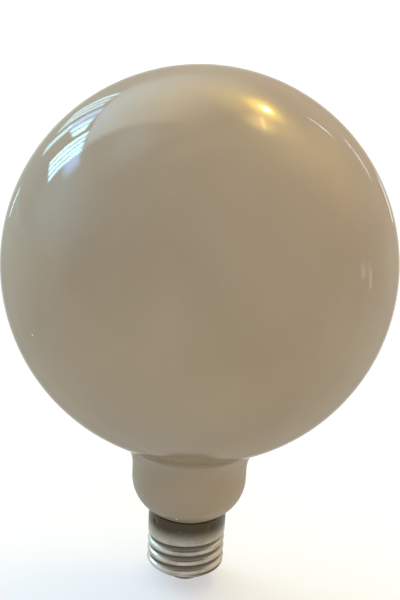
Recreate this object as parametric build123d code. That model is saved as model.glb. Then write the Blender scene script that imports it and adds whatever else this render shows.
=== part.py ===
from build123d import *
import math
import os

# Globe bulb: a sealed opal glass globe with its neck, on an Edison screw cap.
# Millimetres. +Z runs up the bulb's axis, from the cap to the crown of the globe, and the
# origin is the middle of the centre contact's face, where the bulb seats in its lamp holder.

# Driving dimensions: the sealed glass
GLOBE_DIAMETER = 125.0
NECK_DIAMETER = 38.7
NECK_FILLET = 16.0
NECK_LENGTH = 3.4
SHOULDER_LENGTH = 11.8

# Driving dimensions: the cap as a whole
CAP_HEIGHT = 27.0
SHELL_WALL = 0.5
SEAT_CLEARANCE = 0.05

# Driving dimensions: the skirt, the shell's plain band above the thread
SKIRT_DIAMETER = 26.4
SKIRT_HEIGHT = 8.0
RIM_BEVEL = 0.15
CRIMP_COUNT = 8
CRIMP_DIAMETER = 2.4
CRIMP_DEPTH = 0.3
CRIMP_BELOW_RIM = 2.6
CRIMP_START_DEGREES = -98.0

# Driving dimensions: the knuckle thread, whose crests lie just inside the skirt
CREST_INSET = 0.05
THREAD_PITCH = 3.629
THREAD_DEPTH = 1.096
ROOT_FLAT = 0.7
RIDGE_FOOT_GAP = 0.24
CHORDS_PER_ARC = 2

# Driving dimensions: the closed end of the cap
SHELL_FOOT = 5.2
FOOT_ROUND = 4.0
FOOT_OPENING = 18.4
SEAT_RISE = 0.9
FLANGE_EDGE = 1.2
NOSE_DIAMETER = 11.4
CONTACT_DIAMETER = 9.6
CONTACT_THICKNESS = 1.3
CONTACT_CROWN = 0.7
CONTACT_FACE_DIAMETER = 5.0
SHANK_DIAMETER = 3.0

# Radii and heights that follow from them
GLOBE_R = GLOBE_DIAMETER / 2
NECK_R = NECK_DIAMETER / 2
SHOULDER_Z = CAP_HEIGHT + SHOULDER_LENGTH
FILLET_R = NECK_R + NECK_FILLET
FILLET_Z = SHOULDER_Z + NECK_LENGTH
FILLET_DROP = math.sqrt((GLOBE_R + NECK_FILLET) ** 2 - FILLET_R**2)
GLOBE_Z = FILLET_Z + FILLET_DROP
SKIRT_R = SKIRT_DIAMETER / 2
SKIRT_Z = CAP_HEIGHT - SKIRT_HEIGHT
SKIRT_BORE_R = SKIRT_R - SHELL_WALL
CREST_R = SKIRT_R - CREST_INSET
FOOT_R = FOOT_OPENING / 2
SEAT_Z = SHELL_FOOT + SHELL_WALL
SEAT_TOP_Z = SEAT_Z + SEAT_RISE
FLANGE_TOP_Z = SEAT_TOP_Z + FLANGE_EDGE
SHANK_R = SHANK_DIAMETER / 2

# The thread's wave is arcs of one radius, crest and root in turn, each tangent to the next.
# The ridge follows each half arc by chords, which keeps the swept faces simple, and the core
# cylinder cuts the roots off to a flat of the stated width.
THREAD_ROUND = ((THREAD_PITCH / 2) ** 2 + THREAD_DEPTH**2) / (4 * THREAD_DEPTH)
FLANK_ANGLE = math.asin(THREAD_PITCH / (4 * THREAD_ROUND))
CREST_CENTRE_R = CREST_R - THREAD_ROUND
ROOT_CENTRE_R = CREST_R - THREAD_DEPTH + THREAD_ROUND
CORE_R = ROOT_CENTRE_R - math.sqrt(THREAD_ROUND**2 - (ROOT_FLAT / 2) ** 2)
THREAD_BORE_R = CORE_R - SHELL_WALL


def turned(*outline):
    """The solid that a closed outline of radius and height sweeps about the axis."""
    return revolve(Plane.XZ * make_face(list(outline)), axis=Axis.Z)


def round_bar(radius, low, high):
    """A plain round bar on the axis between two heights."""
    return turned(Polyline((0, low), (radius, low), (radius, high), (0, high), close=True))


def glass_bulb():
    """The sealed glass: globe, neck and shoulder blown in one, and the plug that the cap holds."""
    plug_r = SKIRT_BORE_R - SEAT_CLEARANCE
    plug_z = SKIRT_Z + SEAT_CLEARANCE
    tail_r = THREAD_BORE_R - SEAT_CLEARANCE
    touch_angle = math.degrees(math.atan2(FILLET_DROP, FILLET_R))

    tail = Polyline((0, FLANGE_TOP_Z), (tail_r, FLANGE_TOP_Z), (tail_r, plug_z))
    plug = Polyline(tail @ 1, (plug_r, plug_z), (plug_r, CAP_HEIGHT))
    shoulder = TangentArc((NECK_R, SHOULDER_Z), plug @ 1, tangent=(0, -1))
    neck = Line(shoulder @ 0, (NECK_R, FILLET_Z))
    fillet_arc = CenterArc((FILLET_R, FILLET_Z), NECK_FILLET, 180, -touch_angle)
    globe = CenterArc((0, GLOBE_Z), GLOBE_R, -touch_angle, 90 + touch_angle)
    axis = Line(globe @ 1, tail @ 0)
    return turned(tail, plug, shoulder, neck, fillet_arc, globe, axis)


def wave_side():
    """Points up one side of the ridge, from its foot to its crest: radius, and height below the crest."""
    foot_angle = math.asin(RIDGE_FOOT_GAP / (2 * THREAD_ROUND))
    points = []
    for step in range(CHORDS_PER_ARC):
        angle = foot_angle + (FLANK_ANGLE - foot_angle) * step / CHORDS_PER_ARC
        height = THREAD_PITCH / 2 - THREAD_ROUND * math.sin(angle)
        points.append((ROOT_CENTRE_R - THREAD_ROUND * math.cos(angle), height))
    for step in range(CHORDS_PER_ARC + 1):
        angle = FLANK_ANGLE * (1 - step / CHORDS_PER_ARC)
        points.append((CREST_CENTRE_R + THREAD_ROUND * math.cos(angle), THREAD_ROUND * math.sin(angle)))
    return points


def thread_ridge(low, high):
    """One helical ridge from one height to another, its feet sunk below the core's face."""
    side = wave_side()
    foot_r, foot_half = side[0]
    sunk_r = foot_r - SHELL_WALL / 2
    outline = [(sunk_r, -foot_half)]
    outline += [(radius, -height) for radius, height in side]
    outline += side[-2::-1]
    outline.append((sunk_r, foot_half))

    path = Helix(THREAD_PITCH, high - low, CREST_CENTRE_R, center=(0, 0, low))
    start = Plane(origin=path @ 0, x_dir=(1, 0, 0), z_dir=path % 0)
    section = Polyline(*[(radius - CREST_CENTRE_R, height) for radius, height in outline], close=True)
    return sweep(start * make_face(section), path=path, is_frenet=True)


def crimps():
    """The ring of shallow round dents punched in the skirt just below its rim."""
    ball_r = ((CRIMP_DIAMETER / 2) ** 2 + CRIMP_DEPTH**2) / (2 * CRIMP_DEPTH)
    ball = Sphere(ball_r)
    ball_place = SKIRT_R + ball_r - CRIMP_DEPTH
    ring = PolarLocations(ball_place, CRIMP_COUNT, start_angle=CRIMP_START_DEGREES)
    return Pos(0, 0, CAP_HEIGHT - CRIMP_BELOW_RIM) * Compound(children=[place * ball for place in ring])


def threaded_core():
    """The threaded stretch as a solid bar, its lower end rounded in to the shell's foot."""
    low = SHELL_FOOT - THREAD_PITCH
    high = SKIRT_Z + THREAD_PITCH
    screw = round_bar(CORE_R, low - THREAD_PITCH, high + THREAD_PITCH) + thread_ridge(low, high)

    clear_r = SKIRT_R + SHELL_WALL
    foot = Line((0, SHELL_FOOT), (clear_r - FOOT_ROUND, SHELL_FOOT))
    turn_in = TangentArc(foot @ 1, (clear_r, SHELL_FOOT + FOOT_ROUND), tangent=(1, 0))
    outside = Polyline(turn_in @ 1, (clear_r, SKIRT_Z), (0, SKIRT_Z), foot @ 0)
    return screw & turned(foot, turn_in, outside)


def screw_shell():
    """The metal sleeve: plain skirt, rolled thread and a foot turned in under the insulator."""
    skirt = turned(
        Polyline(
            (0, SKIRT_Z),
            (SKIRT_R, SKIRT_Z),
            (SKIRT_R, CAP_HEIGHT - RIM_BEVEL),
            (SKIRT_R - RIM_BEVEL, CAP_HEIGHT),
            (0, CAP_HEIGHT),
            close=True,
        )
    )
    bore = turned(
        Polyline(
            (0, 0),
            (FOOT_R, 0),
            (FOOT_R, SEAT_Z),
            (THREAD_BORE_R, SEAT_TOP_Z),
            (THREAD_BORE_R, SKIRT_Z),
            (SKIRT_BORE_R, SKIRT_Z),
            (SKIRT_BORE_R, SHOULDER_Z),
            (0, SHOULDER_Z),
            close=True,
        )
    )
    return skirt + threaded_core() - bore - crimps()


def insulator():
    """The black cone that closes the cap, held by its flange inside the shell's foot."""
    flange_r = THREAD_BORE_R - SEAT_CLEARANCE
    throat_r = FOOT_R - SEAT_CLEARANCE
    hole_r = SHANK_R + SEAT_CLEARANCE
    return turned(
        Polyline(
            (hole_r, CONTACT_THICKNESS),
            (NOSE_DIAMETER / 2, CONTACT_THICKNESS),
            (throat_r, SHELL_FOOT),
            (throat_r, SEAT_Z),
            (flange_r, SEAT_TOP_Z),
            (flange_r, FLANGE_TOP_Z),
            (hole_r, FLANGE_TOP_Z),
            close=True,
        )
    )


def centre_contact():
    """The domed rivet at the tip: its flat face is where the bulb rests in the holder."""
    contact_r = CONTACT_DIAMETER / 2
    face = Line((0, 0), (CONTACT_FACE_DIAMETER / 2, 0))
    crown = TangentArc(face @ 1, (contact_r, CONTACT_CROWN), tangent=(1, 0))
    shank = Polyline(
        crown @ 1,
        (contact_r, CONTACT_THICKNESS),
        (SHANK_R, CONTACT_THICKNESS),
        (SHANK_R, FLANGE_TOP_Z),
        (0, FLANGE_TOP_Z),
        face @ 0,
    )
    return turned(face, crown, shank)


os.makedirs("parts", exist_ok=True)
export_step(glass_bulb(), "parts/glass_bulb.step")
export_step(screw_shell(), "parts/screw_shell.step")
export_step(insulator(), "parts/insulator.step")
export_step(centre_contact(), "parts/centre_contact.step")
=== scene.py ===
import math

import bmesh
import bpy
from mathutils import Matrix, Vector


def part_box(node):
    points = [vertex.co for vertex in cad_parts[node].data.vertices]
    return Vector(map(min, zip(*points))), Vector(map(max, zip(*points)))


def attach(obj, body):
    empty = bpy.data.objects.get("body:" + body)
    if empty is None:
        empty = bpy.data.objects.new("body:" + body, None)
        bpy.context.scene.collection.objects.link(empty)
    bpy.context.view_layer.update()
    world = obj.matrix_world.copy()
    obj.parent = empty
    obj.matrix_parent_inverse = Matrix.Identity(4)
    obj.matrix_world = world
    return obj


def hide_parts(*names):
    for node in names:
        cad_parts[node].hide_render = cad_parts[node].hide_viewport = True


# Globe bulb: sealed opal glass on a screw cap. Metres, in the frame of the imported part: +Z runs
# up the bulb's axis from the middle of the contact's face, and the camera stands on the -Y side.

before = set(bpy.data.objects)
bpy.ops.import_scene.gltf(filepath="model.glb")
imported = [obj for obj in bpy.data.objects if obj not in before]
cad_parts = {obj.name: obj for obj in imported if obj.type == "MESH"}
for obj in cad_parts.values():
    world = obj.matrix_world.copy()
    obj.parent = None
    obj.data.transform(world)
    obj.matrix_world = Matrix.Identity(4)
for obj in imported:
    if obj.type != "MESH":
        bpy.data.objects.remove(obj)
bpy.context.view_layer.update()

MM = 0.001

# Sizes of the part, as its source has them
NECK_R = 19.35 * MM
NECK_FILLET = 16.0 * MM
NECK_LENGTH = 3.4 * MM
SHOULDER_LENGTH = 11.8 * MM
SHELL_WALL = 0.5 * MM
SEAT_CLEARANCE = 0.05 * MM
SKIRT_HEIGHT = 8.0 * MM
RIM_BEVEL = 0.15 * MM
CRIMP_COUNT = 8
CRIMP_R = 1.2 * MM
CRIMP_DEPTH = 0.3 * MM
CRIMP_BELOW_RIM = 2.6 * MM
CRIMP_START = math.radians(-98.0)
CREST_INSET = 0.05 * MM
THREAD_PITCH = 3.629 * MM
THREAD_DEPTH = 1.096 * MM
ROOT_FLAT = 0.7 * MM
FOOT_ROUND = 4.0 * MM
FOOT_R = 9.2 * MM
SEAT_RISE = 0.9 * MM
NOSE_R = 5.7 * MM
CONTACT_THICKNESS = 1.3 * MM
CONTACT_CROWN = 0.7 * MM
CONTACT_FACE_R = 2.5 * MM
SHANK_R = 1.5 * MM

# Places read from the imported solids
glass_low, glass_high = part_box("glass_bulb")
shell_low, shell_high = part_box("screw_shell")
contact_low, contact_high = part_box("centre_contact")
GLOBE_R = (glass_high[0] - glass_low[0]) / 2
GLOBE_Z = glass_high[2] - GLOBE_R
FLANGE_TOP_Z = glass_low[2]
RIM_Z = shell_high[2]
SHELL_FOOT = shell_low[2]
SKIRT_R = (shell_high[0] - shell_low[0]) / 2
CONTACT_R = (contact_high[0] - contact_low[0]) / 2

# Radii and heights that follow from them
SHOULDER_Z = RIM_Z + SHOULDER_LENGTH
FILLET_R = NECK_R + NECK_FILLET
FILLET_Z = SHOULDER_Z + NECK_LENGTH
TOUCH_ANGLE = math.atan2(GLOBE_Z - FILLET_Z, FILLET_R)
SKIRT_Z = RIM_Z - SKIRT_HEIGHT
SKIRT_BORE_R = SKIRT_R - SHELL_WALL
CREST_R = SKIRT_R - CREST_INSET
THREAD_ROUND = ((THREAD_PITCH / 2) ** 2 + THREAD_DEPTH**2) / (4 * THREAD_DEPTH)
CREST_CENTRE_R = CREST_R - THREAD_ROUND
ROOT_CENTRE_R = CREST_R - THREAD_DEPTH + THREAD_ROUND
CORE_R = ROOT_CENTRE_R - math.sqrt(THREAD_ROUND**2 - (ROOT_FLAT / 2) ** 2)
THREAD_BORE_R = CORE_R - SHELL_WALL
SEAT_Z = SHELL_FOOT + SHELL_WALL
SEAT_TOP_Z = SEAT_Z + SEAT_RISE
PLUG_R = SKIRT_BORE_R - SEAT_CLEARANCE

# How finely the meshes are drawn: steps round the axis, and rings along each stretch of an outline
GLASS_STEPS = 224
PLUG_RINGS = 2
SHOULDER_RINGS = 26
NECK_RINGS = 8
FILLET_RINGS = 72
UNDERSIDE_SPAN = math.radians(18.0)
UNDERSIDE_RINGS = 48
GLOBE_RINGS = 112
SHELL_STEPS = 320
FOOT_RINGS = 16
THREAD_RINGS = 80
SKIRT_RINGS = 32
SMALL_STEPS = 128
NOSE_RINGS = 8
CONE_RINGS = 10
FACE_RINGS = 10
CROWN_RINGS = 24
SHARP_ANGLE = math.radians(35.0)
ON_AXIS = 1e-9

# The camera of the photograph
CAMERA_DISTANCE = 330.0 * MM
CAMERA_ELEVATION = math.radians(15.77)
CAMERA_ROLL = math.radians(2.96)
CAMERA_LENS = 62.26
CAMERA_NEAR = 0.01
CAMERA_FAR = 50.0
AIM = Vector((0.63 * MM, 0.0, 100.72 * MM))

# Angles on an arc of an outline
DOWN = -math.pi / 2
INWARD = math.pi
UP = math.pi / 2


def arc(centre_r, centre_z, radius, first, last, count):
    """Points of radius and height along an arc, both ends included."""
    points = []
    for step in range(count + 1):
        angle = first + (last - first) * step / count
        points.append((centre_r + radius * math.cos(angle), centre_z + radius * math.sin(angle)))
    return points


def straight(start, end, count):
    """Points along a straight run, without its start."""
    points = []
    for step in range(1, count + 1):
        share = step / count
        radius = start[0] + (end[0] - start[0]) * share
        height = start[1] + (end[1] - start[1]) * share
        points.append((radius, height))
    return points


def lathe(name, outline, steps, push=None):
    """A closed piece turned from an outline; push moves a point's radius and height."""
    mesh = bpy.data.meshes.new(name)
    build = bmesh.new()
    rings = []
    for radius, height in outline:
        if radius < ON_AXIS:
            rings.append([build.verts.new((0.0, 0.0, height))])
            continue
        ring = []
        for step in range(steps):
            azimuth = 2 * math.pi * step / steps
            r, z = push(azimuth, radius, height) if push else (radius, height)
            ring.append(build.verts.new((r * math.cos(azimuth), r * math.sin(azimuth), z)))
        rings.append(ring)
    pairs = list(zip(rings, rings[1:]))
    if len(rings[0]) > 1:
        pairs.append((rings[-1], rings[0]))
    for lower, upper in pairs:
        for step in range(steps):
            after = (step + 1) % steps
            if len(lower) == 1:
                build.faces.new((lower[0], upper[after], upper[step]))
            elif len(upper) == 1:
                build.faces.new((lower[step], lower[after], upper[0]))
            else:
                build.faces.new((lower[step], lower[after], upper[after], upper[step]))
    bmesh.ops.recalc_face_normals(build, faces=build.faces)
    build.to_mesh(mesh)
    build.free()
    for face in mesh.polygons:
        face.use_smooth = True
    mesh.set_sharp_from_angle(angle=SHARP_ANGLE)
    piece = bpy.data.objects.new(name, mesh)
    bpy.context.scene.collection.objects.link(piece)
    return piece


# The glass: the blown surface is a little uneven, which bends what it mirrors.
# A wave has its turns per metre along X, Y and Z, in radians, and its start.
RIPPLE = 0.05 * MM
RIPPLE_WAVES = (
    ((150.0, 60.0, 90.0), 0.0),
    ((-80.0, 170.0, 60.0), 1.3),
    ((60.0, -70.0, 190.0), 2.1),
)


def glass_outline():
    """The sealed glass from the plug's foot, up the neck and over the globe to its crown."""
    tail_r = THREAD_BORE_R - SEAT_CLEARANCE
    plug_z = SKIRT_Z + SEAT_CLEARANCE
    reach = NECK_R - PLUG_R
    shoulder_round = (reach**2 + SHOULDER_LENGTH**2) / (2 * reach)
    shoulder_r = NECK_R - shoulder_round
    shoulder_angle = math.atan2(-SHOULDER_LENGTH, PLUG_R - shoulder_r)
    underside = UNDERSIDE_SPAN - TOUCH_ANGLE
    points = [(0.0, FLANGE_TOP_Z), (tail_r, FLANGE_TOP_Z), (tail_r, plug_z), (PLUG_R, plug_z)]
    points += straight(points[-1], (PLUG_R, RIM_Z), PLUG_RINGS)
    points += arc(shoulder_r, SHOULDER_Z, shoulder_round, shoulder_angle, 0.0, SHOULDER_RINGS)[1:]
    points += straight(points[-1], (NECK_R, FILLET_Z), NECK_RINGS)
    points += arc(FILLET_R, FILLET_Z, NECK_FILLET, INWARD, INWARD - TOUCH_ANGLE, FILLET_RINGS)[1:]
    points += arc(0.0, GLOBE_Z, GLOBE_R, -TOUCH_ANGLE, underside, UNDERSIDE_RINGS)[1:]
    points += arc(0.0, GLOBE_Z, GLOBE_R, underside, UP, GLOBE_RINGS)[1:-1]
    points.append((0.0, GLOBE_Z + GLOBE_R))
    return points


def ripple(azimuth, radius, height):
    """Draws the glass above the cap's rim in by a few hundredths of a millimetre, in slow waves."""
    if height <= RIM_Z:
        return radius, height
    fade = min(1.0, (height - RIM_Z) / SHOULDER_LENGTH)
    x = radius * math.cos(azimuth)
    y = radius * math.sin(azimuth)
    total = 0.0
    for (turn_x, turn_y, turn_z), start in RIPPLE_WAVES:
        total += math.sin(turn_x * x + turn_y * y + turn_z * height + start)
    share = 0.5 + total / (2 * len(RIPPLE_WAVES))
    return radius - RIPPLE * fade * share, height


glass = lathe("opal_globe", glass_outline(), GLASS_STEPS, ripple)


# The metal shell: rolled thread, plain skirt with its ring of punched dents, thin rim
RUN_OUT = 0.8 * MM
DENT_BALL = (CRIMP_R**2 + CRIMP_DEPTH**2) / (2 * CRIMP_DEPTH)
THREAD_START = SHELL_FOOT - THREAD_PITCH


def thread_radius(azimuth, height):
    """The rolled wave at a place on the shell: arcs in turn, with the roots cut to a flat."""
    turn = (height - THREAD_START) / THREAD_PITCH - azimuth / (2 * math.pi)
    off_crest = abs(turn - round(turn)) * THREAD_PITCH
    if off_crest < THREAD_PITCH / 4:
        return CREST_CENTRE_R + math.sqrt(THREAD_ROUND**2 - off_crest**2)
    off_root = THREAD_PITCH / 2 - off_crest
    return max(CORE_R, ROOT_CENTRE_R - math.sqrt(THREAD_ROUND**2 - off_root**2))


def dent(azimuth, height):
    """How far the nearest punched dent draws the skirt in."""
    pitch = 2 * math.pi / CRIMP_COUNT
    turn = (azimuth - CRIMP_START) / pitch
    across = (turn - round(turn)) * pitch * SKIRT_R
    up = height - (RIM_Z - CRIMP_BELOW_RIM)
    gap = math.hypot(across, up)
    return max(0.0, CRIMP_DEPTH - gap**2 / (2 * DENT_BALL))


def shell_push(azimuth, radius, height):
    """Gives the sleeve's outer face its thread, run-out and dents, and keeps the foot inside."""
    if radius < SKIRT_R - RIM_BEVEL / 2:
        if height < SEAT_TOP_Z:
            return min(radius, thread_radius(azimuth, height)), height
        return radius, height
    if height < SKIRT_Z:
        wave = thread_radius(azimuth, height)
        share = min(1.0, max(0.0, (height - SKIRT_Z + RUN_OUT) / RUN_OUT))
        blend = share * share * (3 - 2 * share)
        return wave + (SKIRT_R - wave) * blend, height
    return radius - dent(azimuth, height), height


def shell_outline():
    """The shell from its turned-in foot, up the outside, over the rim and down the bore."""
    round_r = SKIRT_R + SHELL_WALL - FOOT_ROUND
    round_z = SHELL_FOOT + FOOT_ROUND
    full = math.asin((SKIRT_R - round_r) / FOOT_ROUND)
    points = [(FOOT_R, SHELL_FOOT), (round_r, SHELL_FOOT)]
    points += arc(round_r, round_z, FOOT_ROUND, DOWN, DOWN + full, FOOT_RINGS)[1:]
    points += straight(points[-1], (SKIRT_R, SKIRT_Z), THREAD_RINGS)
    points += straight(points[-1], (SKIRT_R, RIM_Z - RIM_BEVEL), SKIRT_RINGS)
    points += [(SKIRT_R - RIM_BEVEL, RIM_Z), (SKIRT_BORE_R, RIM_Z), (SKIRT_BORE_R, SKIRT_Z)]
    points += [(THREAD_BORE_R, SKIRT_Z), (THREAD_BORE_R, SEAT_TOP_Z), (FOOT_R, SEAT_Z)]
    return points


shell = lathe("cap_shell", shell_outline(), SHELL_STEPS, shell_push)


# The black insulator: a moulded cone with a rounded nose and a shallow step below the shell
NOSE_ROUND = 0.45 * MM
STEP_INSET = 0.35 * MM


def insulator_outline():
    """The cone from its hole, out over the nose and up to the flange that the shell holds."""
    throat_r = FOOT_R - SEAT_CLEARANCE
    flange_r = THREAD_BORE_R - SEAT_CLEARANCE
    hole_r = SHANK_R + SEAT_CLEARANCE
    slope = math.atan2(SHELL_FOOT - CONTACT_THICKNESS, throat_r - NOSE_R)
    nose_r = NOSE_R - NOSE_ROUND * math.tan(slope / 2)
    nose_z = CONTACT_THICKNESS + NOSE_ROUND
    points = [(hole_r, CONTACT_THICKNESS)]
    points += arc(nose_r, nose_z, NOSE_ROUND, DOWN, DOWN + slope, NOSE_RINGS)
    step_end = (throat_r - STEP_INSET, SHELL_FOOT - STEP_INSET)
    points += straight(points[-1], step_end, CONE_RINGS)
    points += [(throat_r, SHELL_FOOT), (throat_r, SEAT_Z), (flange_r, SEAT_TOP_Z)]
    points += [(flange_r, FLANGE_TOP_Z), (hole_r, FLANGE_TOP_Z)]
    return points


insulator = lathe("cap_insulator", insulator_outline(), SMALL_STEPS)


# The contact: a brass eyelet with a flat dome of solder in its middle.
# The groove between them wanders in waves, each with its count round the axis, share and start.
GROOVE_DEPTH = 0.16 * MM
GROOVE_WIDTH = 0.4 * MM
GROOVE_R = CONTACT_FACE_R + 0.5 * MM
GROOVE_WAVES = ((3, 0.05, 0.4), (7, 0.03, 0.0))


def contact_push(azimuth, radius, height):
    """Sinks a shallow uneven groove between the solder and the eyelet round it."""
    if height > CONTACT_CROWN:
        return radius, height
    wander = 1.0
    for count, share, start in GROOVE_WAVES:
        wander += share * math.sin(count * azimuth + start)
    off = (radius - GROOVE_R * wander) / GROOVE_WIDTH
    return radius, height + GROOVE_DEPTH * math.exp(-off * off)


def contact_outline():
    """The contact from the middle of its face, over the crown and up its shank."""
    run = CONTACT_R - CONTACT_FACE_R
    crown_round = (run**2 + CONTACT_CROWN**2) / (2 * CONTACT_CROWN)
    crown_angle = math.asin(run / crown_round)
    crown_end = DOWN + crown_angle
    points = [(0.0, 0.0)]
    points += straight((0.0, 0.0), (CONTACT_FACE_R, 0.0), FACE_RINGS)
    points += arc(CONTACT_FACE_R, crown_round, crown_round, DOWN, crown_end, CROWN_RINGS)[1:]
    points += [(CONTACT_R, CONTACT_THICKNESS), (SHANK_R, CONTACT_THICKNESS)]
    points += [(SHANK_R, FLANGE_TOP_Z), (0.0, FLANGE_TOP_Z)]
    return points


contact = lathe("tip_contact", contact_outline(), SMALL_STEPS, contact_push)

for piece, node, slot in (
    (glass, "glass_bulb", "opal_glass"),
    (shell, "screw_shell", "nickel"),
    (insulator, "insulator", "black_glass"),
    (contact, "centre_contact", "brass"),
):
    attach(piece, "root")
    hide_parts(node)


# Sockets of the node that mixes colours: the two colours, and the result
MIX_FIRST = 6
MIX_SECOND = 7
MIX_RESULT = 2


class Nodes:
    """A tree of nodes, and short ways to add and join them."""

    def __init__(self, tree):
        self.tree = tree

    def add(self, kind, **settings):
        """A new node with its settings."""
        node = self.tree.nodes.new(kind)
        for key, value in settings.items():
            setattr(node, key, value)
        return node

    def join(self, source, target):
        """A link from one node's output to another's input."""
        self.tree.links.new(source, target)

    def feed(self, value, socket):
        """Gives an input a number, a colour or another node's output."""
        if isinstance(value, bpy.types.NodeSocket):
            self.join(value, socket)
        elif isinstance(value, tuple):
            socket.default_value = (*value, 1.0)
        else:
            socket.default_value = value

    def span(self, value, low, high, to_low=0.0, to_high=1.0):
        """A value's run from low to high, eased at both ends and mapped to another run."""
        node = self.add("ShaderNodeMapRange", interpolation_type="SMOOTHSTEP")
        node.inputs["From Min"].default_value = low
        node.inputs["From Max"].default_value = high
        node.inputs["To Min"].default_value = to_low
        node.inputs["To Max"].default_value = to_high
        self.join(value, node.inputs["Value"])
        return node.outputs["Result"]

    def maths(self, operation, first, second):
        """One operation on two values; each is a number or another node's output."""
        node = self.add("ShaderNodeMath", operation=operation)
        self.feed(first, node.inputs[0])
        self.feed(second, node.inputs[1])
        return node.outputs["Value"]

    def product(self, first, second):
        """Two values multiplied."""
        return self.maths("MULTIPLY", first, second)

    def blend(self, share, first, second):
        """Two colours mixed by a share; each is a colour or another node's output."""
        node = self.add("ShaderNodeMix", data_type="RGBA")
        self.join(share, node.inputs["Factor"])
        self.feed(first, node.inputs[MIX_FIRST])
        self.feed(second, node.inputs[MIX_SECOND])
        return node.outputs[MIX_RESULT]


class Shader(Nodes):
    """A material under construction."""

    def __init__(self, name):
        self.material = bpy.data.materials.new(name)
        self.material.use_nodes = True
        super().__init__(self.material.node_tree)
        self.tree.nodes.clear()
        self.output = self.add("ShaderNodeOutputMaterial")

    def surface(self, **sockets):
        """The principled surface with its constant values set on its own sockets."""
        node = self.add("ShaderNodeBsdfPrincipled")
        for key, value in sockets.items():
            node.inputs[key].default_value = value
        self.join(node.outputs["BSDF"], self.output.inputs["Surface"])
        return node

    def places(self, stretch=(1.0, 1.0, 1.0)):
        """The piece's own coordinates in metres, stretched along X, Y and Z."""
        coordinates = self.add("ShaderNodeTexCoord")
        mapping = self.add("ShaderNodeMapping")
        mapping.inputs["Scale"].default_value = stretch
        self.join(coordinates.outputs["Object"], mapping.inputs["Vector"])
        return mapping.outputs["Vector"]

    def noise(self, scale, detail, roughness, stretch=(1.0, 1.0, 1.0), distortion=0.0):
        """Soft noise over the piece, from 0 to 1."""
        node = self.add("ShaderNodeTexNoise")
        node.inputs["Scale"].default_value = scale
        node.inputs["Detail"].default_value = detail
        node.inputs["Roughness"].default_value = roughness
        node.inputs["Distortion"].default_value = distortion
        self.join(self.places(stretch), node.inputs["Vector"])
        return node.outputs["Fac"]

    def bump(self, height, distance, under=None):
        """A surface raised by a height from 0 to 1 over a distance, on top of another bump."""
        node = self.add("ShaderNodeBump")
        node.inputs["Strength"].default_value = 1.0
        node.inputs["Distance"].default_value = distance
        self.join(height, node.inputs["Height"])
        if under:
            self.join(under, node.inputs["Normal"])
        return node.outputs["Normal"]

    def split_places(self):
        """The piece's own coordinates, one output each."""
        split = self.add("ShaderNodeSeparateXYZ")
        self.join(self.places(), split.inputs["Vector"])
        return split.outputs

    def axis_radius(self):
        """Distance from the bulb's axis."""
        place = self.split_places()
        across = self.product(place["X"], place["X"])
        along = self.product(place["Y"], place["Y"])
        return self.maths("POWER", self.maths("ADD", across, along), 0.5)

    def height(self):
        """Height above the contact's face."""
        return self.split_places()["Z"]


# Opal glass: a warm grey milk under a clear glossy skin, faintly cloudy, with haze and dust.
# The gloss weakens towards the rim, where the white surroundings would bleach the glass.
OPAL_PALE = (0.322, 0.256, 0.174)
OPAL_DEEP = (0.288, 0.226, 0.152)
OPAL_CLOUD = {"scale": 22.0, "detail": 4.0, "roughness": 0.55, "distortion": 0.6}
OPAL_CLOUD_RUN = (0.3, 0.7)
DUST_PALE = (0.75, 0.72, 0.66)
DUST_DARK = (0.06, 0.05, 0.04)
PALE_SPECKS = {"scale": 90.0, "reach": 0.042, "rarity": 0.45}
DARK_SPECKS = {"scale": 70.0, "reach": 0.022, "rarity": 0.85}
SPECK_CORE = 0.5
RARITY_STEP = 0.02
HAZE_NOISE = {"scale": 55.0, "detail": 5.0, "roughness": 0.6}
HAZE_RUN = (0.45, 0.75)
HAZE_ROUGHNESS = (0.045, 0.11)
SKIN_NOISE = {"scale": 320.0, "detail": 2.0, "roughness": 0.5}
SKIN_DEPTH = 0.002 * MM
OPAL_IOR = 1.4
GLOSS = 0.5
GLOSS_AT_RIM = 0.01
GLOSS_FADE = (0.4, 0.85)


def dust(shader, scale, reach, rarity):
    """Where scattered specks lie: small spots round the seeds of some cells of a cell pattern."""
    cells = shader.add("ShaderNodeTexVoronoi", feature="F1", distance="EUCLIDEAN")
    cells.inputs["Scale"].default_value = scale
    shader.join(shader.places(), cells.inputs["Vector"])
    near = shader.span(cells.outputs["Distance"], reach * SPECK_CORE, reach, 1.0, 0.0)
    split = shader.add("ShaderNodeSeparateColor")
    shader.join(cells.outputs["Color"], split.inputs["Color"])
    chosen = shader.span(split.outputs["Red"], rarity, rarity + RARITY_STEP)
    return shader.product(near, chosen)


def opal_glass():
    shader = Shader("opal_glass_glossy")
    surface = shader.surface(IOR=OPAL_IOR)
    cloud = shader.span(shader.noise(**OPAL_CLOUD), *OPAL_CLOUD_RUN)
    milk = shader.blend(cloud, OPAL_DEEP, OPAL_PALE)
    specked = shader.blend(dust(shader, **PALE_SPECKS), milk, DUST_PALE)
    dusty = shader.blend(dust(shader, **DARK_SPECKS), specked, DUST_DARK)
    shader.join(dusty, surface.inputs["Base Color"])
    haze = shader.span(shader.noise(**HAZE_NOISE), *HAZE_RUN, *HAZE_ROUGHNESS)
    shader.join(haze, surface.inputs["Roughness"])
    skin = shader.bump(shader.noise(**SKIN_NOISE), SKIN_DEPTH)
    shader.join(skin, surface.inputs["Normal"])
    slant = shader.add("ShaderNodeLayerWeight")
    gloss = shader.span(slant.outputs["Facing"], *GLOSS_FADE, GLOSS, GLOSS_AT_RIM)
    shader.join(gloss, surface.inputs["Specular IOR Level"])
    return shader.material


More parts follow.
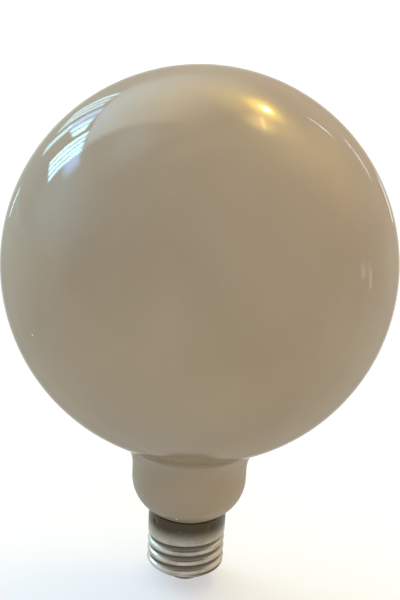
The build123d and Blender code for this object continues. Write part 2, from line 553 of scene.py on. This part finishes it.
# Cap metal: dull nickel, with painted shade and a painted dark reflection darkening the skirt
# towards the glass, painted shade in the thread's roots, wear on the crests
NICKEL = (0.34, 0.305, 0.245)
NICKEL_WORN = (0.50, 0.46, 0.39)
# Painted shade and painted dark reflection: the skirt's colour under the glass, much darker than
# the nickel
NICKEL_PAINTED_SHADE = (0.070, 0.054, 0.035)
# Dark colour of the stains along the skirt, also used as painted shade in the thread's roots
GRIME_AND_SHADE = (0.035, 0.028, 0.020)
PATCH_NOISE = {"scale": 160.0, "detail": 5.0, "roughness": 0.6}
LINE_NOISE = {"scale": 60.0, "detail": 4.0, "roughness": 0.55, "stretch": (1.0, 1.0, 60.0)}
WEAR_REACH = 0.45 * MM
WEAR_RUN = (0.35, 0.6)
ROOT_REACH = 0.5 * MM
ROOT_SHADE = 0.7
SHADE_WANDER = 4.0 * MM
SHADE_MARGIN = 1.0 * MM
STAIN_RUN = (0.55, 0.8)
STAIN_GRIME = 0.35
METAL_RUN = (0.3, 0.7)
METAL_ROUGHNESS = (0.24, 0.42)
SCRATCH_DEPTH = 0.006 * MM
PATCH_DEPTH = 0.01 * MM


def cap_metal():
    shader = Shader("nickel_painted_shade")
    surface = shader.surface(Metallic=1.0)
    radius = shader.axis_radius()
    height = shader.height()
    patches = shader.noise(**PATCH_NOISE)
    lines = shader.noise(**LINE_NOISE)
    crest = shader.span(radius, CREST_R - WEAR_REACH, CREST_R)
    worn = shader.product(crest, shader.span(patches, *WEAR_RUN))
    # Painted shade: every thread root is darkened by its depth alone
    root = shader.span(radius, CORE_R, CORE_R + ROOT_REACH, 1.0, 0.0)
    # Painted shade and painted dark reflection: the skirt darkens towards the glass that overhangs
    # it, along a wandering edge
    shade_edge = shader.maths("ADD", height, shader.product(patches, SHADE_WANDER))
    brown = shader.span(shade_edge, SKIRT_Z + SHADE_MARGIN, RIM_Z - SHADE_MARGIN)
    stain = shader.span(lines, *STAIN_RUN, 0.0, STAIN_GRIME)
    metal = shader.blend(worn, NICKEL, NICKEL_WORN)
    shaded_metal = shader.blend(brown, metal, NICKEL_PAINTED_SHADE)
    stained = shader.blend(stain, shaded_metal, GRIME_AND_SHADE)
    root_shaded = shader.blend(shader.product(root, ROOT_SHADE), stained, GRIME_AND_SHADE)
    shader.join(root_shaded, surface.inputs["Base Color"])
    shader.join(shader.span(patches, *METAL_RUN, *METAL_ROUGHNESS), surface.inputs["Roughness"])
    scratches = shader.bump(lines, SCRATCH_DEPTH)
    uneven = shader.bump(patches, PATCH_DEPTH, under=scratches)
    shader.join(uneven, surface.inputs["Normal"])
    return shader.material


# Insulator: black glass with a faint brown cast in clouds, and fine moulding ripples
BLACK_DEEP = (0.010, 0.010, 0.011)
BLACK_BROWN = (0.030, 0.027, 0.024)
BLACK_IOR = 1.5
BLACK_NOISE = {"scale": 260.0, "detail": 4.0, "roughness": 0.6}
BROWN_CAST_RUN = (0.35, 0.75)
BLACK_RUN = (0.3, 0.75)
BLACK_ROUGHNESS = (0.10, 0.32)
MOULD_NOISE = {"scale": 420.0, "detail": 3.0, "roughness": 0.5}
MOULD_DEPTH = 0.03 * MM


def black_glass():
    shader = Shader("black_glass_moulded")
    surface = shader.surface(IOR=BLACK_IOR)
    cloud = shader.noise(**BLACK_NOISE)
    base = shader.blend(shader.span(cloud, *BROWN_CAST_RUN), BLACK_DEEP, BLACK_BROWN)
    shader.join(base, surface.inputs["Base Color"])
    shader.join(shader.span(cloud, *BLACK_RUN, *BLACK_ROUGHNESS), surface.inputs["Roughness"])
    moulding = shader.bump(shader.noise(**MOULD_NOISE), MOULD_DEPTH)
    shader.join(moulding, surface.inputs["Normal"])
    return shader.material


# Contact: brass eyelet with dull grey solder in the middle, both tarnished in patches
BRASS_PALE = (0.62, 0.46, 0.22)
BRASS_DEEP = (0.36, 0.25, 0.11)
BRASS_RUN = (0.35, 0.7)
SOLDER_PALE = (0.50, 0.50, 0.50)
SOLDER_DEEP = (0.27, 0.27, 0.28)
SOLDER_RUN = (0.3, 0.7)
SOLDER_WANDER = 0.6 * MM
SOLDER_EDGE = 0.5 * MM
TARNISH_NOISE = {"scale": 500.0, "detail": 5.0, "roughness": 0.6}
TARNISH_RUN = (0.3, 0.7)
TARNISH_ROUGHNESS = (0.25, 0.5)
TARNISH_DEPTH = 0.03 * MM


def brass_and_solder():
    shader = Shader("brass_and_solder")
    surface = shader.surface(Metallic=1.0)
    radius = shader.axis_radius()
    patches = shader.noise(**TARNISH_NOISE)
    brass = shader.blend(shader.span(patches, *BRASS_RUN), BRASS_PALE, BRASS_DEEP)
    solder = shader.blend(shader.span(patches, *SOLDER_RUN), SOLDER_PALE, SOLDER_DEEP)
    edge = shader.maths("ADD", radius, shader.product(patches, SOLDER_WANDER))
    outside = shader.span(edge, GROOVE_R, GROOVE_R + SOLDER_EDGE)
    shader.join(shader.blend(outside, solder, brass), surface.inputs["Base Color"])
    roughness = shader.span(patches, *TARNISH_RUN, *TARNISH_ROUGHNESS)
    shader.join(roughness, surface.inputs["Roughness"])
    shader.join(shader.bump(patches, TARNISH_DEPTH), surface.inputs["Normal"])
    return shader.material


for piece, material in (
    (glass, opal_glass()),
    (shell, cap_metal()),
    (insulator, black_glass()),
    (contact, brass_and_solder()),
):
    piece.data.materials.append(material)


# Floor: plain and pale; to the eye and in reflections it is white, and it keeps the bulb's shadow
FLOOR_HALF = 14.0
FLOOR_PALE = (0.60, 0.60, 0.60, 1.0)
FLOOR_SHADE = (0.48, 0.49, 0.52, 1.0)
FLOOR_GLOW = 0.44


def seen_ray(nodes):
    """One for a ray that shows the background: from the camera, off gloss, or through glass."""
    path = nodes.add("ShaderNodeLightPath")
    seen = path.outputs["Is Camera Ray"]
    for name in ("Is Glossy Ray", "Is Transmission Ray"):
        seen = nodes.maths("MAXIMUM", seen, path.outputs[name])
    return seen


def floor_material():
    shader = Shader("floor_pale")
    plain = shader.add("ShaderNodeBsdfDiffuse")
    plain.inputs["Color"].default_value = FLOOR_PALE
    shade = shader.add("ShaderNodeBsdfDiffuse")
    shade.inputs["Color"].default_value = FLOOR_SHADE
    glow = shader.add("ShaderNodeEmission")
    glow.inputs["Strength"].default_value = FLOOR_GLOW
    white = shader.add("ShaderNodeAddShader")
    shader.join(shade.outputs["BSDF"], white.inputs[0])
    shader.join(glow.outputs["Emission"], white.inputs[1])
    choose = shader.add("ShaderNodeMixShader")
    shader.join(seen_ray(shader), choose.inputs["Fac"])
    shader.join(plain.outputs["BSDF"], choose.inputs[1])
    shader.join(white.outputs["Shader"], choose.inputs[2])
    shader.join(choose.outputs["Shader"], shader.output.inputs["Surface"])
    return shader.material


floor_mesh = bpy.data.meshes.new("floor")
floor_corners = [
    (-FLOOR_HALF, -FLOOR_HALF, 0.0),
    (FLOOR_HALF, -FLOOR_HALF, 0.0),
    (FLOOR_HALF, FLOOR_HALF, 0.0),
    (-FLOOR_HALF, FLOOR_HALF, 0.0),
]
floor_mesh.from_pydata(floor_corners, [], [(0, 1, 2, 3)])
floor_mesh.materials.append(floor_material())
floor = bpy.data.objects.new("floor", floor_mesh)
bpy.context.scene.collection.objects.link(floor)


# World: soft even light all round, and white where it is seen
WORLD_LIGHT = (0.50, 0.52, 0.54, 1.0)
WORLD_WHITE = (1.0, 1.0, 1.0, 1.0)

world = bpy.data.worlds.new("studio")
bpy.context.scene.world = world
world.use_nodes = True
around = Nodes(world.node_tree)
around.tree.nodes.clear()
world_output = around.add("ShaderNodeOutputWorld")
world_light = around.add("ShaderNodeBackground")
world_light.inputs["Color"].default_value = WORLD_LIGHT
world_white = around.add("ShaderNodeBackground")
world_white.inputs["Color"].default_value = WORLD_WHITE
world_mix = around.add("ShaderNodeMixShader")
around.join(seen_ray(around), world_mix.inputs["Fac"])
around.join(world_light.outputs["Background"], world_mix.inputs[1])
around.join(world_white.outputs["Background"], world_mix.inputs[2])
around.join(world_mix.outputs["Shader"], world_output.inputs["Surface"])


# Lamps, placed by bearing from the globe's middle: 0 degrees is towards the camera, 90 to its right
GLOBE_MIDDLE = Vector((0.0, 0.0, GLOBE_Z))


def facing_globe(bearing, elevation, distance, tilt):
    """The place at a bearing and elevation from the globe, turned to face it."""
    a = math.radians(bearing)
    e = math.radians(elevation)
    away = Vector((math.sin(a) * math.cos(e), -math.cos(a) * math.cos(e), math.sin(e)))
    turn = (-away).to_track_quat("-Z", "Y").to_matrix().to_4x4()
    roll = Matrix.Rotation(math.radians(tilt), 4, "Z")
    return Matrix.Translation(GLOBE_MIDDLE + away * distance) @ turn @ roll


def lamp_panel(name, place, width, height, radiance, colour):
    """A flat lamp of a given size and brightness, which the camera itself doesn't see."""
    data = bpy.data.lights.new(name, "AREA")
    data.shape = "RECTANGLE"
    data.size = width
    data.size_y = height
    data.energy = radiance * math.pi * width * height
    data.color = colour
    lamp = bpy.data.objects.new(name, data)
    bpy.context.scene.collection.objects.link(lamp)
    lamp.matrix_world = place
    lamp.visible_camera = False
    return lamp


def panel(name, bearing, elevation, size, radiance, colour, distance, tilt=0.0):
    """A flat lamp that faces the globe, its size in degrees as the globe sees it."""
    width = 2 * distance * math.tan(math.radians(size[0] / 2))
    height = 2 * distance * math.tan(math.radians(size[1] / 2))
    place = facing_globe(bearing, elevation, distance, tilt)
    return lamp_panel(name, place, width, height, radiance, colour)


class LampFace(Nodes):
    """Nodes on a lamp's face, with u across it and v up it, each from 0 to 1."""

    def __init__(self, lamp):
        lamp.data.use_nodes = True
        super().__init__(lamp.data.node_tree)
        self.emission = self.tree.nodes["Emission"]
        self.uv = self.add("ShaderNodeNewGeometry").outputs["Parametric"]
        split = self.add("ShaderNodeSeparateXYZ")
        self.join(self.uv, split.inputs["Vector"])
        self.u = split.outputs["X"]
        self.v = split.outputs["Y"]

    def between(self, value, rise, fall):
        """A value's run from 0 to 1, faded in over its first share and out over its last."""
        rising = self.span(value, 0.0, rise)
        falling = self.span(value, 1.0 - fall, 1.0, 1.0, 0.0)
        return self.product(rising, falling)

    def soft_edges(self, left, right, low, high):
        """A face that fades to nothing over a share of its width or height at each side."""
        across = self.between(self.u, left, right)
        up = self.between(self.v, low, high)
        return self.product(across, up)

    def shine(self, strength):
        """Sets how strongly each place on the face shines."""
        self.join(strength, self.emission.inputs["Strength"])

    def tint(self, share, first, second):
        """Colours the face from one colour to another by a share."""
        self.join(self.blend(share, first, second), self.emission.inputs["Color"])


WHITE = (1.0, 1.0, 1.0)
COOL = (0.84, 0.95, 1.0)
SKY = (0.44, 0.83, 1.0)
HAZE = (0.28, 0.66, 1.0)
VIOLET = (0.26, 0.52, 1.0)
VIOLET_DIM = (0.15, 0.30, 0.56)
NEUTRAL = (1.0, 0.98, 0.95)
AMBER = (1.0, 0.62, 0.16)
PALE_GOLD = (1.0, 0.90, 0.40)
LAMP_YELLOW = (1.0, 0.84, 0.30)
LAMP_GOLD = (1.0, 0.66, 0.06)
FAR = 12.0
NEAR = 0.85
PANES = 0.45

# Broad soft fills: a key near the camera and a warm one on the right; the gloss doesn't show them
FILL_SIZE = (60.0, 55.0)

for name, bearing, elevation, radiance, colour in (
    ("key_front", 6.0, 3.0, 2.1, NEUTRAL),
    ("fill_right", 62.0, 18.0, 0.46, AMBER),
):
    fill = panel(name, bearing, elevation, FILL_SIZE, radiance, colour, FAR)
    fill.visible_glossy = False

# A soft box overhead, towards the back and the left, cool at its left and warm at its right
BOX_SCALE = 9.0
BOX_MIDDLE = Vector((-0.229, 1.125, 1.0)) * BOX_SCALE
BOX_WIDTH = 1.44 * BOX_SCALE
BOX_DEPTH = 1.81 * BOX_SCALE
BOX_TURN = math.radians(-25.0)
BOX_RADIANCE = 3.1
BOX_EDGES = (0.04, 0.35, 0.072, 0.885)
BOX_LEFT = (0.54, 0.82, 1.0)
BOX_RIGHT = (0.64, 0.54, 0.33)
BOX_TINT_RUN = (0.1, 0.8)

box_turn = Matrix.Rotation(BOX_TURN, 4, "Z")
box_place = Matrix.Translation(GLOBE_MIDDLE + BOX_MIDDLE) @ box_turn
soft_box = lamp_panel("soft_box", box_place, BOX_WIDTH, BOX_DEPTH, BOX_RADIANCE, WHITE)
box_face = LampFace(soft_box)
box_face.shine(box_face.soft_edges(*BOX_EDGES))
box_face.tint(box_face.span(box_face.u, *BOX_TINT_RUN), BOX_LEFT, BOX_RIGHT)

# Soft panels: name, bearing, elevation, size, radiance, colour, distance, tilt, and how much of the
# face fades at its left, right, lower and upper edge
ALL_SOFT = (0.5, 0.5, 0.5, 0.5)
SOFT_ENDS = (0.1, 0.1, 0.3, 0.3)
SOFT_TOP = (0.1, 0.1, 0.1, 0.3)

for name, bearing, elevation, size, radiance, colour, distance, tilt, edges in (
    ("warm_right", 115.0, 38.0, (56.0, 60.0), 1.2, AMBER, FAR, 0.0, ALL_SOFT),
    ("lamp_halo", 113.0, 56.0, (50.0, 40.0), 0.9, PALE_GOLD, FAR, 0.0, ALL_SOFT),
    ("lamp_core", 146.9, 52.5, (7.0, 5.2), 64.0, LAMP_YELLOW, FAR, -20.0, ALL_SOFT),
    ("lamp_glow", 147.6, 53.0, (22.5, 15.5), 11.0, LAMP_GOLD, FAR, -20.0, ALL_SOFT),
    ("lamp_spread", 148.0, 56.0, (50.0, 36.0), 3.8, LAMP_GOLD, FAR, -20.0, ALL_SOFT),
    ("lamp_stand", 130.0, 62.5, (18.0, 16.0), 7.0, AMBER, FAR, 20.0, ALL_SOFT),
    ("lamp_arm", 131.0, 61.5, (13.0, 3.2), 5.0, LAMP_YELLOW, FAR, -24.5, (0.3, 0.3, 0.5, 0.5)),
    ("cool_left", -94.0, 20.0, (66.0, 56.0), 1.7, HAZE, FAR, 0.0, ALL_SOFT),
    ("cool_upper", -100.0, 58.0, (50.0, 36.0), 1.4, HAZE, FAR, 0.0, ALL_SOFT),
    ("window_low", -111.0, 29.0, (13.0, 12.0), 8.5, VIOLET, FAR, 0.0, (0.1, 0.6, 0.5, 0.2)),
    ("strip_upper", 143.6, 29.2, (0.5, 11.0), 12.0, COOL, FAR, -29.0, SOFT_ENDS),
    ("strip_lower", 142.0, 14.5, (0.5, 14.0), 11.0, COOL, NEAR, -35.0, SOFT_ENDS),
    ("strip_right", 150.0, -1.4, (1.8, 9.0), 7.0, COOL, NEAR, -35.0, SOFT_TOP),
    ("pane_near", 95.0, -0.3, (5.0, 7.4), 1.2, WHITE, PANES, 0.0, (0.3, 0.3, 0.2, 0.3)),
    ("pane_far", 101.5, -2.5, (3.2, 12.5), 1.3, WHITE, PANES, 0.0, (0.3, 0.3, 0.1, 0.7)),
    ("strip_left", -143.0, -2.5, (1.6, 7.0), 9.0, SKY, NEAR, 0.0, SOFT_TOP),
):
    soft = panel(name, bearing, elevation, size, radiance, colour, distance, tilt)
    face = LampFace(soft)
    face.shine(face.soft_edges(*edges))


# A slatted window on the left behind, with dim gaps between its slats and streaks along them
TINT_RUN = (0.3, 0.7)
GAP_LEVEL = 0.12
STREAK_SCALE = (3.0, 0.35, 1.0)
STREAK_NOISE = 5.0
STREAK_DETAIL = 3.0
STREAK_RUN = (0.35, 0.65)
STREAK_LEVELS = (0.5, 1.0)
CUT_FADE = 0.08
WINDOW_EDGES = (0.05, 0.05, 0.1, 0.08)


def streaks(face):
    """Uneven brightness along the slats."""
    stretched = face.add("ShaderNodeVectorMath", operation="MULTIPLY")
    stretched.inputs[1].default_value = STREAK_SCALE
    face.join(face.uv, stretched.inputs[0])
    noise = face.add("ShaderNodeTexNoise")
    noise.inputs["Scale"].default_value = STREAK_NOISE
    noise.inputs["Detail"].default_value = STREAK_DETAIL
    face.join(stretched.outputs["Vector"], noise.inputs["Vector"])
    return face.span(noise.outputs["Fac"], *STREAK_RUN, *STREAK_LEVELS)


def slatted(name, bearing, elevation, size, radiance, colours, slats, gap, slant):
    """A window-like panel of upright slats, its lower edge cut on a slant."""
    face = LampFace(panel(name, bearing, elevation, size, radiance, WHITE, FAR))
    face.tint(face.span(face.u, *TINT_RUN), *colours)
    phase = face.maths("FRACT", face.product(face.u, slats), 0.0)
    bars = face.span(face.between(phase, gap, gap), 0.0, 1.0, GAP_LEVEL, 1.0)
    lit = face.product(bars, streaks(face))
    above_cut = face.maths("SUBTRACT", face.v, face.product(face.u, slant))
    opening = face.product(face.span(above_cut, 0.0, CUT_FADE), face.soft_edges(*WINDOW_EDGES))
    face.shine(face.product(lit, opening))


# Four parts of the window: name, bearing, elevation, size, radiance, colours at the left and right,
# number of slats, share of a slat that fades at each side, and slant of the lower edge
slatted("window_near", -123.4, 26.0, (12.4, 19.0), 22.0, (SKY, SKY), 4.0, 0.34, 0.0)
slatted("window_middle", -139.8, 24.6, (12.8, 15.6), 16.0, (VIOLET_DIM, SKY), 3.0, 0.24, 0.62)
slatted("window_far", -153.0, 19.5, (8.0, 19.0), 7.5, (SKY, SKY), 3.0, 0.45, 0.0)
slatted("window_edge", -144.0, 14.5, (4.8, 11.0), 7.5, (SKY, SKY), 1.0, 0.3, 0.0)


# The camera
camera_data = bpy.data.cameras.new("camera")
camera_data.lens = CAMERA_LENS
camera_data.clip_start = CAMERA_NEAR
camera_data.clip_end = CAMERA_FAR
camera = bpy.data.objects.new("camera", camera_data)
bpy.context.scene.collection.objects.link(camera)
camera_back = Vector((0.0, -math.cos(CAMERA_ELEVATION), math.sin(CAMERA_ELEVATION)))
camera_place = GLOBE_MIDDLE + camera_back * CAMERA_DISTANCE
camera_turn = (AIM - camera_place).to_track_quat("-Z", "Y").to_matrix().to_4x4()
camera_roll = Matrix.Rotation(CAMERA_ROLL, 4, "Z")
camera.matrix_world = Matrix.Translation(camera_place) @ camera_turn @ camera_roll
bpy.context.scene.camera = camera

bpy.context.scene.view_settings.view_transform = "Standard"

bpy.context.view_layer.update()
